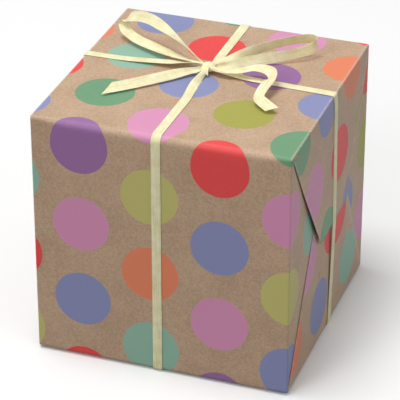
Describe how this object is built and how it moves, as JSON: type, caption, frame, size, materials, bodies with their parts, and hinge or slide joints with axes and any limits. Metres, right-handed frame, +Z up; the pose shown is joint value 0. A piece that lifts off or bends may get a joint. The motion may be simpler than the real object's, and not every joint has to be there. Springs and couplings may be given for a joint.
{
  "type": "wrapped gift box",
  "caption": "Cube carton wrapped in dotted kraft paper with envelope-folded ends, tied both ways with flat paper ribbon and a bow.",
  "frame": {"origin": "centre of the underside, on the surface that the box stands on", "axes": "+Z up, -Y towards the front, where the sheet's dots run on from the top; +X towards the right-hand folded end"},
  "size_m": [0.158, 0.1542, 0.1728],
  "materials": {
    "board": "matte corrugated board",
    "kraft_print": "uncoated kraft, printed dots, slight sheen at the creases",
    "ribbon": "matte pressed paper ribbon with fine lengthwise ribs",
    "clear_tape": "smooth film tape"
  },
  "bodies": {
    "box": {"bow_knot": "ribbon", "carton_bottom_back_flap": "board", "carton_bottom_front_flap": "board", "carton_bottom_left_flap": "board", "carton_bottom_right_flap": "board", "carton_bottom_tape": "clear_tape", "carton_top_back_flap": "board", "carton_top_front_flap": "board", "carton_top_left_flap": "board", "carton_top_right_flap": "board", "carton_top_tape": "clear_tape", "carton_wall": "board", "paper_back": "kraft_print", "paper_bottom_inner_lap": "kraft_print", "paper_bottom_outer_lap": "kraft_print", "paper_front": "kraft_print", "paper_left_back_tuck": "kraft_print", "paper_left_bottom_flap": "kraft_print", "paper_left_flap_tape": "clear_tape", "paper_left_front_tuck": "kraft_print", "paper_left_top_flap": "kraft_print", "paper_right_back_tuck": "kraft_print", "paper_right_bottom_flap": "kraft_print", "paper_right_flap_tape": "clear_tape", "paper_right_front_tuck": "kraft_print", "paper_right_top_flap": "kraft_print", "paper_top": "kraft_print", "ribbon_back_run": "ribbon", "ribbon_front_run": "ribbon", "ribbon_left_run": "ribbon", "ribbon_right_run": "ribbon", "ribbon_under_crossing": "ribbon", "seam_tape": "clear_tape"},
    "left_loop": {"bow_left_loop": "ribbon"},
    "right_loop": {"bow_right_loop": "ribbon"},
    "left_tail": {"bow_left_tail": "ribbon"},
    "right_tail": {"bow_right_tail": "ribbon"}
  },
  "joints": [
    {"name": "left_loop_lift", "type": "hinge", "parent": "box", "child": "left_loop", "pos_m": [-0.0005, 0.0082, 0.1555], "axis": [0.5, 0.866, 0], "range_deg": [0, 40]},
    {"name": "right_loop_lift", "type": "hinge", "parent": "box", "child": "right_loop", "pos_m": [-0.0005, 0.0082, 0.1555], "axis": [0.6691, -0.7431, 0], "range_deg": [0, 40]},
    {"name": "left_tail_lift", "type": "hinge", "parent": "box", "child": "left_tail", "pos_m": [-0.0005, 0.0082, 0.1555], "axis": [-0.682, 0.7314, 0], "range_deg": [0, 45]},
    {"name": "right_tail_lift", "type": "hinge", "parent": "box", "child": "right_tail", "pos_m": [-0.0005, 0.0082, 0.1555], "axis": [-0.2079, -0.9781, 0], "range_deg": [0, 45]}
  ]
}
